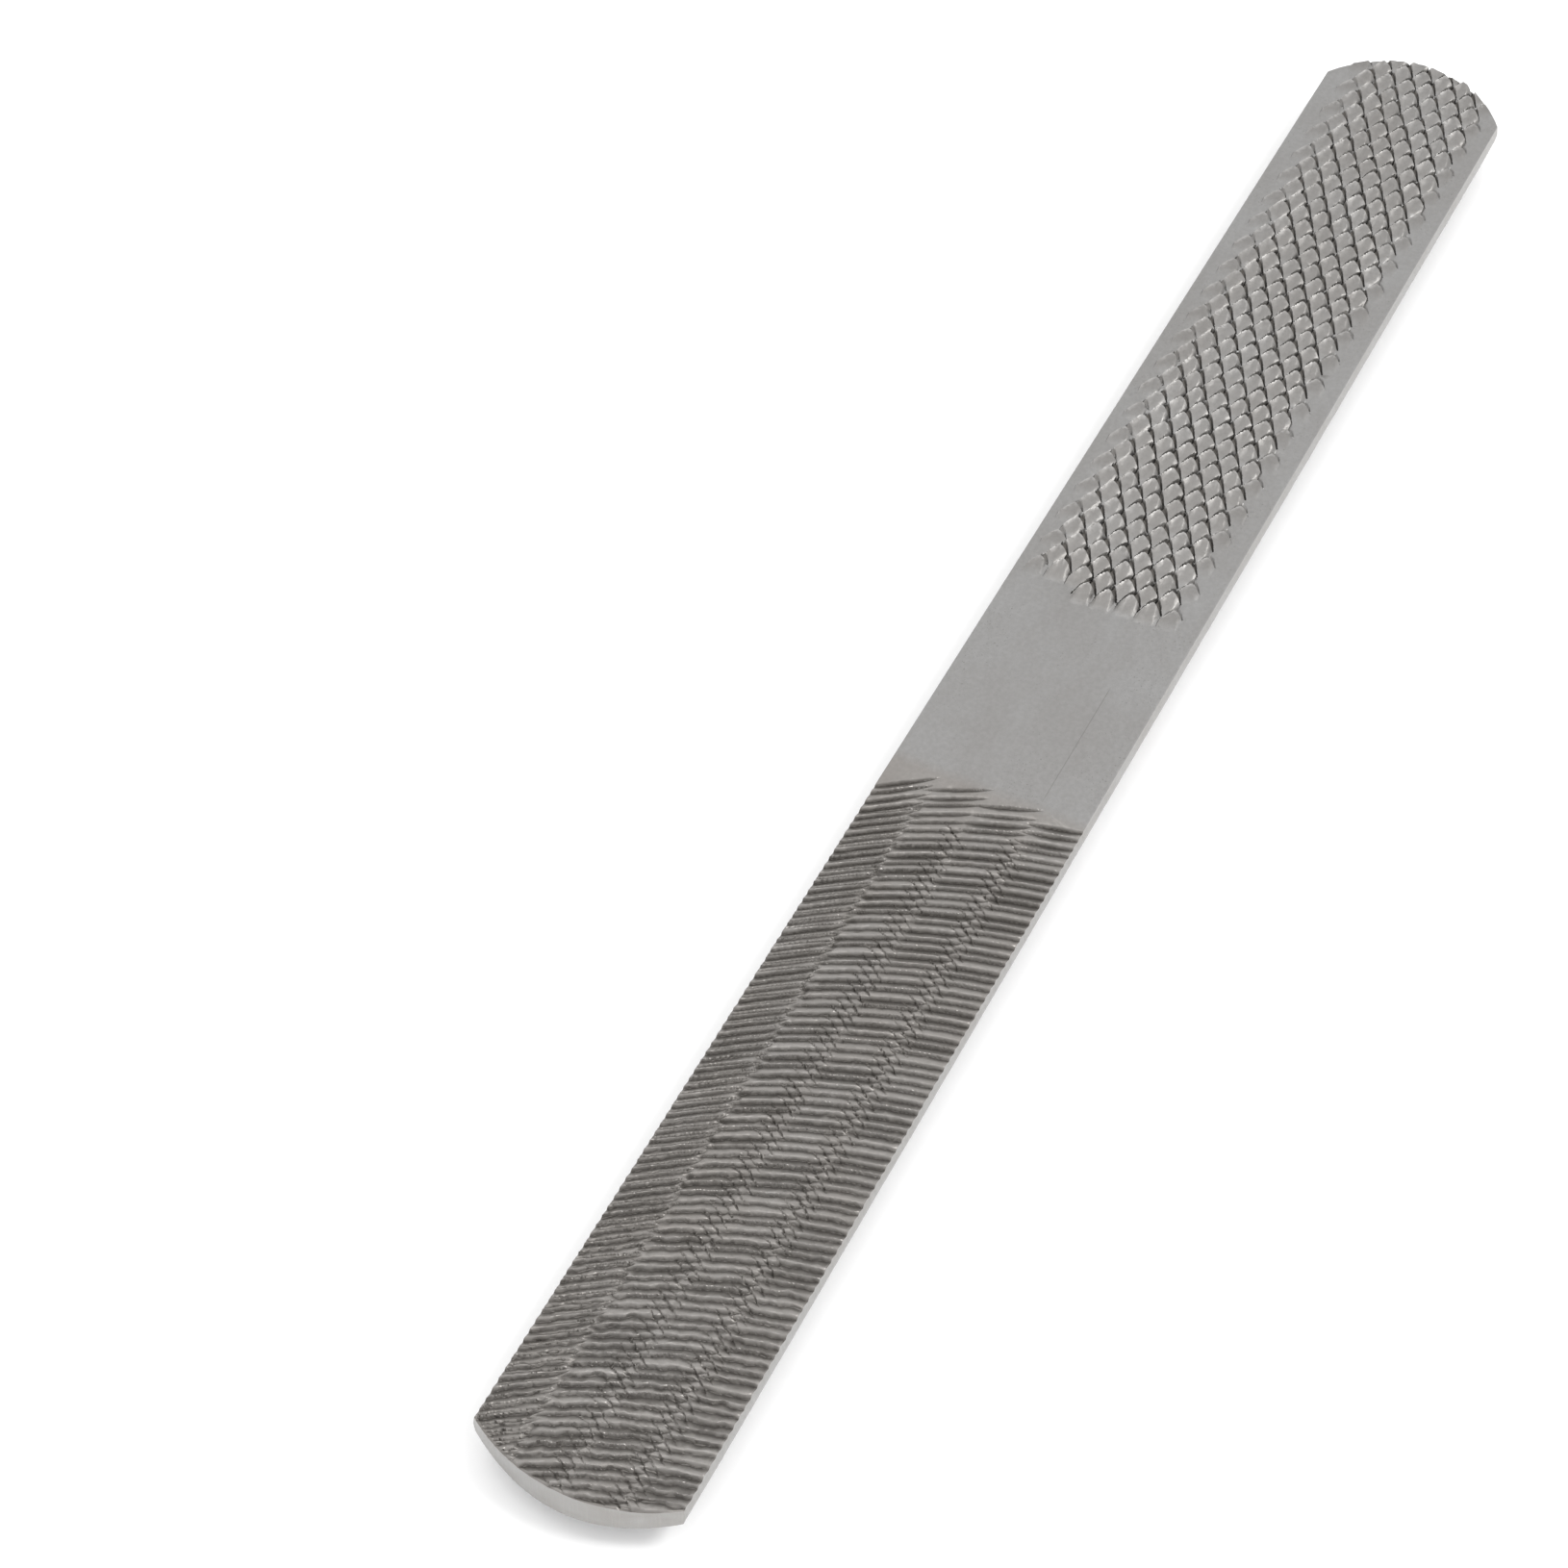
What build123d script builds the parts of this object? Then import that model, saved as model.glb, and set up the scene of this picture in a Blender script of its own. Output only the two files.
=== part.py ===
from build123d import *
import math
import os

# Four-way hand rasp: one steel bar, flat on top and convex underneath, rounded at both ends.
# Millimetres. +X runs to the fine-rasp end, +Y across the bar, +Z up out of the flat face.
# The origin is under the middle of the bar, on the surface that the belly teeth stand on.

# ---- bar ----
LENGTH = 200.0
WIDTH = 20.0
SIDE_LAND = 2.2            # height of the plain vertical side walls
BELLY_RISE = 2.7           # how far the belly bulges below the side walls
TOE_RISE = 5.6             # sagitta of the rounded end at +X
HEEL_RISE = 3.2            # sagitta of the rounded end at -X

# ---- zones, as distances along X ----
FLAT_RASP_FROM = 10.3      # fine rasp teeth on the flat face, from here to the +X end
BELLY_FILE_FROM = 13.0     # file cuts on the belly, from here to the +X end
BELLY_RASP_TO = -11.0      # coarse rasp teeth on the belly, from the -X end to here

# ---- rasp teeth, as shares of a tooth's length ----
TOOTH_FRONT = 0.22         # how far its foot reaches ahead of its place
TOOTH_FACE = 0.12          # how far the steep cutting face leans back
TOOTH_SHOULDER = 0.02      # how far ahead of its place it is widest
TOOTH_ROOT = 0.3           # millimetres that its foot sinks into the bar
END_GAP = 0.1              # least distance from a tooth to the rounded ends

# ---- fine rasp teeth on the flat face ----
FINE_HEIGHT = 0.8
FINE_COLUMN = 2.25         # spacing of the teeth across the bar
FINE_ROW = 2.0             # spacing of the staggered rows along the bar
FINE_LENGTH = 3.6
FINE_WIDTH = 2.0
FINE_CREST = 1.1           # width of the cutting crest
FINE_TILT = 5              # degrees by which the rows run out of square
FINE_MARGIN = 0.2          # plain strip between the teeth and the side walls

# ---- coarse rasp teeth on the belly ----
COARSE_HEIGHT = 1.1
COARSE_COLUMN = 2.7
COARSE_ROW = 2.6
COARSE_LENGTH = 3.4
COARSE_WIDTH = 2.3
COARSE_CREST = 0.9
COARSE_MARGIN = 1.6        # from the side walls to the middle of the nearest teeth

# ---- file cuts on the flat face ----
CUT_PITCH = 1.09
CUT_DEPTH = 0.32
CUT_WIDTH = 0.7
# each course of cuts: its two edges as distances from the +Y side, the slant of its cuts in degrees,
# and where along X its first cut crosses the middle of the course
COURSES = (
    (0.0, 4.7, 36, -17.9),
    (4.7, 9.8, 27, -16.4),
    (9.8, 15.1, 21, -16.3),
    (15.1, 20.0, 15, -16.3),
)

# ---- file cuts on the belly ----
BELLY_CUT_PITCH = 1.25
BELLY_CUT_DEPTH = 0.3
BELLY_CUT_WIDTH = 0.8
BELLY_CUT_SLANT = 17       # degrees

# ---- derived ----
HALF_LENGTH = LENGTH / 2
HALF_WIDTH = WIDTH / 2
BELLY_Z = COARSE_HEIGHT                          # lowest line of the plain belly
SIDE_Z = BELLY_Z + BELLY_RISE                    # lower edge of the side walls
TOP_Z = SIDE_Z + SIDE_LAND                       # the flat face
BELLY_RADIUS = (HALF_WIDTH ** 2 + BELLY_RISE ** 2) / (2 * BELLY_RISE)
BELLY_AXIS_Z = BELLY_Z + BELLY_RADIUS
TOE_RADIUS = (HALF_WIDTH ** 2 + TOE_RISE ** 2) / (2 * TOE_RISE)
HEEL_RADIUS = (HALF_WIDTH ** 2 + HEEL_RISE ** 2) / (2 * HEEL_RISE)
CLEAR = 0.5                                      # a cutter's overshoot above the surface


def toe_x(y):
    """X of the rounded +X end at this Y."""
    return HALF_LENGTH - TOE_RADIUS + math.sqrt(TOE_RADIUS ** 2 - y ** 2)


def heel_x(y):
    """X of the rounded -X end at this Y."""
    return -HALF_LENGTH + HEEL_RADIUS - math.sqrt(HEEL_RADIUS ** 2 - y ** 2)


def bar():
    """The plain bar: its section drawn along X, trimmed to the rounded plan."""
    with BuildPart() as body:
        with BuildSketch(Plane.YZ.offset(-HALF_LENGTH)):
            with BuildLine():
                Polyline((-HALF_WIDTH, SIDE_Z), (-HALF_WIDTH, TOP_Z), (HALF_WIDTH, TOP_Z), (HALF_WIDTH, SIDE_Z))
                ThreePointArc((HALF_WIDTH, SIDE_Z), (0, BELLY_Z), (-HALF_WIDTH, SIDE_Z))
            make_face()
        extrude(amount=LENGTH)
        with BuildSketch(Plane.XY):
            with BuildLine():
                toe_corner = toe_x(HALF_WIDTH)
                heel_corner = heel_x(HALF_WIDTH)
                ThreePointArc((toe_corner, -HALF_WIDTH), (HALF_LENGTH, 0), (toe_corner, HALF_WIDTH))
                Line((toe_corner, HALF_WIDTH), (heel_corner, HALF_WIDTH))
                ThreePointArc((heel_corner, HALF_WIDTH), (-HALF_LENGTH, 0), (heel_corner, -HALF_WIDTH))
                Line((heel_corner, -HALF_WIDTH), (toe_corner, -HALF_WIDTH))
            make_face()
        extrude(amount=TOP_Z + CLEAR, mode=Mode.INTERSECT)
    return body.part.solid()


def polyhedron(points, faces):
    """A closed solid from corner points and faces listed by corner number."""
    polygons = [Face(Wire.make_polygon([points[i] for i in face], close=True)) for face in faces]
    return Solid(Shell(polygons))


def tooth(length, width, crest, height):
    """A rasp tooth: a gentle back rising to a crest, then a steep cutting face towards +X."""
    front = TOOTH_FRONT * length
    shoulder = TOOTH_SHOULDER * length
    tail = front - length
    crest_x = front - TOOTH_FACE * length
    points = [
        (tail, 0, -TOOTH_ROOT),
        (shoulder, -width / 2, -TOOTH_ROOT),
        (front, -crest / 2, -TOOTH_ROOT),
        (front, crest / 2, -TOOTH_ROOT),
        (shoulder, width / 2, -TOOTH_ROOT),
        (crest_x, -crest / 2, height),
        (crest_x, crest / 2, height),
    ]
    faces = [(0, 4, 3, 2, 1), (0, 1, 5), (0, 5, 6), (0, 6, 4), (1, 2, 5), (2, 3, 6, 5), (3, 4, 6)]
    return polyhedron(points, faces)


def staggered(row_pitch, column_pitch, start, stop, half_span):
    """Places in a field of staggered rows, as (x, y) pairs from start towards stop."""
    rows = int(abs(stop - start) / row_pitch) + 1
    step = math.copysign(row_pitch, stop - start)
    columns = int(half_span / column_pitch) + 1
    for row in range(rows):
        shift = column_pitch / 2 if row % 2 else 0.0
        for column in range(-columns, columns + 1):
            y = column * column_pitch + shift
            if abs(y) <= half_span:
                yield start + row * step, y


def fine_teeth():
    """Close rows of teeth on the flat face, cutting towards the +X end."""
    pattern = tooth(FINE_LENGTH, FINE_WIDTH, FINE_CREST, FINE_HEIGHT)
    front = TOOTH_FRONT * FINE_LENGTH
    half_span = HALF_WIDTH - FINE_WIDTH / 2 - FINE_MARGIN
    start = FLAT_RASP_FROM + FINE_LENGTH - front
    tilt = math.tan(math.radians(FINE_TILT))
    teeth = []
    for x, y in staggered(FINE_ROW, FINE_COLUMN, start, HALF_LENGTH, half_span):
        x = x + y * tilt
        if x + front + END_GAP < toe_x(abs(y) + FINE_CREST / 2):
            teeth.append(pattern.moved(Location((x, y, TOP_Z))))
    return teeth


def coarse_teeth():
    """Open rows of larger teeth on the belly, cutting towards the -X end."""
    pattern = tooth(COARSE_LENGTH, COARSE_WIDTH, COARSE_CREST, COARSE_HEIGHT).rotate(Axis.Y, 180)
    front = TOOTH_FRONT * COARSE_LENGTH
    half_span = BELLY_RADIUS * math.asin((HALF_WIDTH - COARSE_MARGIN) / BELLY_RADIUS)
    start = BELLY_RASP_TO - COARSE_LENGTH + front
    teeth = []
    for x, arc in staggered(COARSE_ROW, COARSE_COLUMN, start, -HALF_LENGTH, half_span):
        around = arc / BELLY_RADIUS
        y = BELLY_RADIUS * math.sin(around)
        if x - front - END_GAP > heel_x(abs(y) + COARSE_CREST / 2):
            placed = pattern.moved(Location((x, 0, -BELLY_RADIUS)))
            placed = placed.rotate(Axis.X, math.degrees(around))
            teeth.append(placed.moved(Location((0, 0, BELLY_AXIS_Z))))
    return teeth


def flat_cuts():
    """Cutters for the slanted V cuts on the flat face, in side-by-side courses."""
    top_width = CUT_WIDTH * (CUT_DEPTH + CLEAR) / CUT_DEPTH
    half = CUT_WIDTH / 2
    section = [(-half, -CUT_DEPTH), (half - top_width, CLEAR), (half, CLEAR)]
    faces = [(0, 1, 2), (3, 5, 4), (0, 3, 4, 1), (1, 4, 5, 2), (2, 5, 3, 0)]
    cutters = []
    for near, far, slant, first in COURSES:
        rise = (far - near) * math.tan(math.radians(slant))
        x = first - rise / 2
        while x > -HALF_LENGTH - rise:
            high = [(x + dx, HALF_WIDTH - near, TOP_Z + dz) for dx, dz in section]
            low = [(x + rise + dx, HALF_WIDTH - far, TOP_Z + dz) for dx, dz in section]
            cutters.append(polyhedron(high + low, faces))
            x -= CUT_PITCH
    return cutters


def belly_cuts():
    """Cutters for the slanted V cuts that run round the belly."""
    tip = BELLY_RADIUS - BELLY_CUT_DEPTH
    rim = BELLY_RADIUS + CLEAR
    half = BELLY_CUT_WIDTH / 2 * (BELLY_CUT_DEPTH + CLEAR) / BELLY_CUT_DEPTH
    section = Face(Wire.make_polygon([(0, 0, -tip), (-half, 0, -rim), (half, 0, -rim)], close=True))
    ring = revolve(section, Axis.X, 360).solid().rotate(Axis.Z, -BELLY_CUT_SLANT)
    reach = HALF_WIDTH * math.tan(math.radians(BELLY_CUT_SLANT))
    cutters = []
    x = BELLY_FILE_FROM + reach
    while x < HALF_LENGTH + reach:
        cutters.append(ring.moved(Location((x, 0, BELLY_AXIS_Z))))
        x += BELLY_CUT_PITCH
    return cutters


def rasp():
    """The whole tool: the bar with its raised teeth, then its file cuts."""
    toothed = bar().fuse(*fine_teeth(), *coarse_teeth())
    return toothed.cut(*flat_cuts()).cut(*belly_cuts())


os.makedirs("parts", exist_ok=True)
export_step(rasp(), "parts/rasp.step")
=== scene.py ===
import math

import bmesh
import bpy
import numpy as np
from mathutils import Matrix, Vector


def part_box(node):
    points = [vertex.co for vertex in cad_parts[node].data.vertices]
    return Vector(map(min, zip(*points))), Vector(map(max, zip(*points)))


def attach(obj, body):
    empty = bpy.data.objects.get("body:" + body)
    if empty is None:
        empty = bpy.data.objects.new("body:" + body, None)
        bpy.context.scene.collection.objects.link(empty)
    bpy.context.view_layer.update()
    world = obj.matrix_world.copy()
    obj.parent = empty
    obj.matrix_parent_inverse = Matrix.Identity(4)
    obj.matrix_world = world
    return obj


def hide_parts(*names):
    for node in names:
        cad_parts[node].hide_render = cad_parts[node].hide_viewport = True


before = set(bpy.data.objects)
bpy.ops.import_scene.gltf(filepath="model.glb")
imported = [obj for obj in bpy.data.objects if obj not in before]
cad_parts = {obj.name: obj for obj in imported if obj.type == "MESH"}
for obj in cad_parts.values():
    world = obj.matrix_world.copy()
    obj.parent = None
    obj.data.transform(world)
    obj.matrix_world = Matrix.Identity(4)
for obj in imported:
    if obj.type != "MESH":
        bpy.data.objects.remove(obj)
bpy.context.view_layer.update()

# A four-way hand rasp. Shapes are worked out in millimetres and written to meshes in metres.
# X runs along the bar to the fine-rasp end, Y across it and Z up out of the flat face.
MM = 0.001

# ---- the bar, from its CAD box ----
box_low, box_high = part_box("rasp")
HALF_LENGTH = (box_high.x - box_low.x) / 2 / MM
HALF_WIDTH = (box_high.y - box_low.y) / 2 / MM
FINE_HEIGHT = 0.8                      # the fine teeth stand this far above the flat face
TOP_Z = box_high.z / MM - FINE_HEIGHT
COARSE_HEIGHT = 1.1                    # the coarse teeth stand this far out of the belly
BELLY_Z = box_low.z / MM + COARSE_HEIGHT
SIDE_LAND = 2.2                        # height of the plain side walls
SIDE_Z = TOP_Z - SIDE_LAND
BELLY_RISE = SIDE_Z - BELLY_Z
BELLY_RADIUS = (HALF_WIDTH ** 2 + BELLY_RISE ** 2) / (2 * BELLY_RISE)
BELLY_AXIS_Z = BELLY_Z + BELLY_RADIUS
TOE_RISE = 5.6                         # sagitta of the rounded end at +X
HEEL_RISE = 3.2                        # sagitta of the rounded end at -X
TOE_RADIUS = (HALF_WIDTH ** 2 + TOE_RISE ** 2) / (2 * TOE_RISE)
HEEL_RADIUS = (HALF_WIDTH ** 2 + HEEL_RISE ** 2) / (2 * HEEL_RISE)
SIDE_CREASE = 0.14                     # the side walls lean back from a crease at mid height
EDGE_ROUND = 0.3                       # rounding along the edges of both faces

# ---- zones along X ----
FLAT_RASP_FROM = 10.3
FLAT_FILE_TO = -15.5
BELLY_FILE_FROM = 13.0
BELLY_RASP_TO = -11.0

# ---- mesh ----
STEP = 0.11    # spacing of the surface samples
TRIANGLES = 300000                     # what the finished mesh is reduced to
SIDE_ROWS = 8


# ---------------------------------------------------------------- repeatable noise
def hashed(i, j, seed):
    """A number in 0..1 for each pair of whole numbers, the same on every run."""
    n = (i.astype(np.int64) * 374761393 + j.astype(np.int64) * 668265263 + seed * 974634777) & 0xFFFFFFFF
    n = ((n ^ (n >> 13)) * 1274126177) & 0xFFFFFFFF
    n = ((n ^ (n >> 16)) * 2246822519) & 0xFFFFFFFF
    return ((n ^ (n >> 15)) & 0xFFFFFF) / float(0xFFFFFF)


def noise(x, y, size, seed):
    """Smooth noise in -1..1 whose blobs are about size across."""
    u = x / size
    v = y / size
    i = np.floor(u)
    j = np.floor(v)
    fu = u - i
    fv = v - j
    fu = fu * fu * (3 - 2 * fu)
    fv = fv * fv * (3 - 2 * fv)
    low = hashed(i, j, seed) * (1 - fu) + hashed(i + 1, j, seed) * fu
    high = hashed(i, j + 1, seed) * (1 - fu) + hashed(i + 1, j + 1, seed) * fu
    return 2 * (low * (1 - fv) + high * fv) - 1


def smooth(t):
    """An eased step from 0 to 1 while t goes from 0 to 1."""
    t = np.clip(t, 0, 1)
    return t * t * (3 - 2 * t)


# ---------------------------------------------------------------- outline
def toe_x(y):
    """X of the rounded +X end."""
    return HALF_LENGTH - TOE_RADIUS + np.sqrt(TOE_RADIUS ** 2 - y ** 2)


def heel_x(y):
    """X of the rounded -X end."""
    return -HALF_LENGTH + HEEL_RADIUS - np.sqrt(HEEL_RADIUS ** 2 - y ** 2)


# ---------------------------------------------------------------- fine rasp teeth, flat face
FINE_ROW = 2.0
FINE_COLUMN = 2.25
FINE_FIRST = 2.1                       # first column's distance from the +Y edge
FINE_COLUMNS = (1.5, 17.3)             # the middles of the columns lie between these distances
FINE_DRIFT = 0.012                     # the columns drift away from the +Y edge along the bar
FINE_START = 1.2                       # first row's distance from the +X end
FINE_STOP = 3.2                        # the first column's last row keeps this far inside the zone,
FINE_SLANT = 0.2                       # and each millimetre across moves the last row by this much
FINE_TILT = math.tan(math.radians(5))
FINE_JOG = 0.14                        # how far teeth stand out of line across the bar
FINE_SLIDE = 0.20                      # and along it
FINE_UNEVEN = 0.18                     # share by which their sizes differ
FINE_SMALL_LEFT = (0.45, 1.6, 2.5)     # size of the outermost teeth, from where they grow and over how far
FINE_SMALL_RIGHT = (0.38, 17.0, 1.2)   # the same at the -Y side
FINE_RAGGED = 1.0                      # how far the columns' last teeth stand out of one line
FINE_FACET = (0.08, 0.50)              # slope of the facet right of the crest: its least, and how much more
FACET_EDGE = (0.30, 0.35)              # where the facet starts at the crest, and its lean along the back
FINE_BACK = 2.7                        # length of a tooth's back
FINE_HALF = 1.10                       # half width of a tooth's foot
FINE_DROP = 2.4                        # steepness of the cutting face and the flanks
NARROW_FROM = (2.6, 1.5)               # the backs narrow over the last rows: from how far ahead, and how soon
NARROW_HALF = (1.3, 0.7)               # down to this half width, and how softly
FINE_TIP = -0.15                       # the crest's highest point, to the left of the tooth's middle
# each side of the crest: how it falls back, straight and curved, its width and its loss of height
FINE_LEFT = (1.10, 0.60, 0.95, 0.45)
FINE_RIGHT = (0.40, 0.30, 1.25, 0.40)
RIM_HIGHLIGHT = (0.09, 0.12)                     # painted highlight along the rim: how far behind the crest, and its width
FINE_PIT = 0.30                        # depth of the pit in front of a crest
PIT_HALF = 1.15                        # half width of that pit
PIT_EDGES = (0.08, 0.26)               # how softly it starts and ends along the bar
PIT_LEFT = (0.3, 4, 5)                 # left of the tip: least share, from where it grows, over how far
# how far it reaches: left and right of the tip, each by crest height and by a constant
FINE_SHADE = (1.15, 0.12, 0.60, 0.52)


def fine_teeth(x, y):
    """The fish-scale teeth over each point: their height, the painted shade on their cutting faces and pits,
    and the painted highlight just behind their crests.
    """
    across = HALF_WIDTH - y - FINE_DRIFT * (x - FLAT_RASP_FROM)
    along = HALF_LENGTH - x + FINE_TILT * (across - HALF_WIDTH)
    height = np.zeros(x.shape)
    pits = np.zeros(x.shape)
    painted_shade = np.zeros(x.shape)
    rim = np.zeros(x.shape)
    row_near = np.floor((along - FINE_START) / FINE_ROW)
    for step in (-2, -1, 0, 1):
        row = row_near + step
        offset = FINE_FIRST + 0.5 * FINE_COLUMN * (np.abs(row) % 2)
        column = np.round((across - offset) / FINE_COLUMN)
        jog = FINE_JOG * (hashed(row, column, 3) - 0.5)
        slide = FINE_SLIDE * (hashed(row, column, 4) - 0.5)
        size = 1 - FINE_UNEVEN * hashed(row, column, 5)
        facet = FINE_FACET[0] + FINE_FACET[1] * smooth((hashed(row, column, 7) - 0.3) / 0.4)
        middle = offset + FINE_COLUMN * column
        least, start, over = FINE_SMALL_LEFT
        size = size * (least + (1 - least) * smooth((middle - start) / over))
        least, start, over = FINE_SMALL_RIGHT
        size = size * (least + (1 - least) * smooth((start - middle) / over))
        centre = FINE_START + FINE_ROW * row
        last = HALF_LENGTH - FLAT_RASP_FROM - FINE_STOP + FINE_SLANT * (middle - FINE_FIRST)
        inside = (row >= -1) & (centre < last + FINE_RAGGED * (hashed(column, column, 6) - 0.5))
        inside &= (middle > FINE_COLUMNS[0]) & (middle < FINE_COLUMNS[1])
        p = centre + slide - along
        q = across - middle - jog
        left = np.maximum(FINE_TIP - q, 0)
        right = np.maximum(q - FINE_TIP, 0)
        crest = -left * (FINE_LEFT[0] + FINE_LEFT[1] * left) - right * (FINE_RIGHT[0] + FINE_RIGHT[1] * right)
        top = FINE_LEFT[3] * (left / FINE_LEFT[2]) ** 3 + FINE_RIGHT[3] * (right / FINE_RIGHT[2]) ** 3
        top = FINE_HEIGHT * size * (1 - np.minimum(top, 1))
        beyond = p - crest
        back = top * np.clip(1 + beyond / (FINE_BACK + crest), 0, 1)
        back = back - facet * np.maximum(q - FACET_EDGE[0] + FACET_EDGE[1] * beyond, 0)
        back = np.maximum(back - FINE_DROP * np.maximum(np.abs(q) - FINE_HALF, 0), 0)
        outer = smooth((centre - last + NARROW_FROM[0]) / NARROW_FROM[1])
        back = back * (1 - outer * (1 - smooth((NARROW_HALF[0] - np.abs(q)) / NARROW_HALF[1])))
        scale = np.where(beyond < 0, back, back - FINE_DROP * beyond)
        scale = np.where(inside, scale, -1.0)
        wins = scale > height
        height = np.where(wins, scale, height)
        # painted shade over the cutting face beyond each crest
        painted_shade = np.where(wins, smooth((beyond - 0.01) / 0.05) * smooth((size - 0.3) / 0.3), painted_shade)
        # painted highlight on a thin band just behind the crest, left of the facet
        rim = np.where(wins, smooth(1 - np.abs(beyond + RIM_HIGHLIGHT[0]) / RIM_HIGHLIGHT[1]) * (q < FACET_EDGE[0]), rim)
        reach_left = FINE_SHADE[0] * top + FINE_SHADE[1]
        reach_right = FINE_SHADE[2] * top + FINE_SHADE[3] * smooth((PIT_HALF - q) / 0.9)
        reach = reach_left + (reach_right - reach_left) * smooth((q - FINE_TIP + 0.15) / 0.3)
        pit = smooth(beyond / PIT_EDGES[0]) * smooth((reach - beyond) / PIT_EDGES[1])
        pit = pit * (np.abs(q) < PIT_HALF) * inside * size
        least, start, over = PIT_LEFT
        pit = pit * np.where(q < FINE_TIP, least + (1 - least) * smooth((middle - start) / over), 1)
        pits = np.maximum(pits, FINE_PIT * pit)
    # painted shade in the pits in front of the crests
    painted_shade = np.maximum(painted_shade, smooth((pits - 0.05) / 0.16))
    return height - pits, painted_shade, rim * (1 - painted_shade)


# ---------------------------------------------------------------- file cuts, flat face
CUT_PITCH = 1.09
CUT_FRONT = 0.24                       # share of a cut's width taken by its steep side
CUT_BOW = 0.18                         # how far a cut bows between its middle and its ends
CUT_WAVER = ((0.075, 0.9), (0.03, 0.35))         # how the cuts' lines waver: each height and size
CUT_WORST = (0.4, 1.4, 45, 40)         # more so towards -X: least, how much more, from where, over how far
LATER_CUTS = (1.5, 4)                  # lenses turn into full cuts: how far behind the first, over how far
CUT_SLIDE = 0.15                       # share of the pitch by which single cuts stand out of place
CUT_SIZES = (0.80, 0.36)               # the least of the cuts' sizes, and how much more
CUT_BURR = (0.025, 0.95, 0.10)         # the burr's height, its place in the pitch and its width
# depth of a kind of cut, and its width as a share of the pitch
MAIN_CUT = (0.34, 0.9)
EDGE_CUT = (0.21, 0.46)
CROSS_CUT = (0.15, 0.36)
# each course of cuts: centre and half width across the face from the +Y edge, slant in degrees,
# and where along X its first cut crosses the centre
COURSES = (
    (2.1, 3.3, 36, -18.1),
    (7.3, 3.3, 27, -16.4),
    (12.4, 3.4, 21, -16.3),
    (17.8, 3.4, 15, -16.3),
)
# lighter cuts between those of the first course
EDGE_COURSE = (2.4, 3.2, 33, -21.9)
# short narrow cross cuts over the joints between courses
CROSS_COURSES = (
    (9.2, 1.7, -36, -21.5),
    (15.0, 1.8, -38, -20.5),
)
CROSS_BURR = 0.6                       # their burrs, as a share of the others'
# crumbled joints between courses: distance from the +Y edge, width and strength
CRUMBLED = ((4.9, 0.7, 1.0), (9.9, 0.5, 0.5))
CRUMB_DEPTH = 0.20
CRUMBLED_TO = -18                      # they fade out towards this place along X


def chisel_cuts(x, y, course, cut, seed):
    """One course of saw-toothed chisel cuts: how deep each point is cut, and the burr beside each cut."""
    centre, half, slant, first = course
    depth, width = cut
    across = HALF_WIDTH - y
    spread = half * (1 - 0.05 * smooth((first - 2 - x) / 4))
    t = (across - centre) / spread
    waver = sum(high * noise(x, y, size, seed + n) for n, (high, size) in enumerate(CUT_WAVER))
    least, more, start, over = CUT_WORST
    waver = waver * (least + more * smooth((-x - start) / over))
    line = x - (across - centre) * math.tan(math.radians(slant)) + CUT_BOW * t ** 2 + waver
    count = (first - line) / CUT_PITCH
    number = np.floor(count)
    zero = number * 0
    place = count - number + CUT_SLIDE * (hashed(number, zero, seed + 2) - 0.5)
    # the first cuts are lenses, and the later ones keep their depth nearly to their ends
    lens = np.maximum(0, 1 - t ** 2) ** 0.8
    full = np.maximum(0, 1 - np.abs(t) ** 5)
    size = CUT_SIZES[0] + CUT_SIZES[1] * hashed(number, zero, seed + 3)
    reach = (lens + (full - lens) * smooth((first - LATER_CUTS[0] - x) / LATER_CUTS[1])) * size
    reach = np.where(number >= 0, reach, 0)
    part = place / (width * reach + 0.001)
    groove = np.clip(np.minimum(part / CUT_FRONT, (1 - part) / (1 - CUT_FRONT)), 0, 1)
    burr = CUT_BURR[0] * reach * np.exp(-((CUT_BURR[1] - place) / CUT_BURR[2]) ** 2)
    return depth * reach * groove, burr


def flat_cuts(x, y):
    """The flat face's file cuts: burrs above the face, cuts below it."""
    deep = np.zeros(x.shape)
    burr = np.zeros(x.shape)
    for number, course in enumerate(COURSES):
        groove, ridge = chisel_cuts(x, y, course, MAIN_CUT, 20 + 10 * number)
        deep = np.maximum(deep, groove)
        burr = np.maximum(burr, ridge)
    deep = np.maximum(deep, chisel_cuts(x, y, EDGE_COURSE, EDGE_CUT, 64)[0])
    for number, course in enumerate(CROSS_COURSES):
        groove, ridge = chisel_cuts(x, y, course, CROSS_CUT, 70 + 10 * number)
        deep = deep + groove
        burr = np.maximum(burr, CROSS_BURR * ridge)
    across = HALF_WIDTH - y
    crumbs = sum(strength * np.exp(-((across - middle) / width) ** 2) for middle, width, strength in CRUMBLED)
    crumbs = CRUMB_DEPTH * crumbs * np.maximum(0, noise(x, y, 0.55, 16))
    deep = deep + crumbs * smooth((CRUMBLED_TO - x) / 3)
    ragged = 0.6 + 0.5 * noise(x, y, 0.35, 17)
    return burr * ragged * (deep < 0.05) - deep


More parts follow.
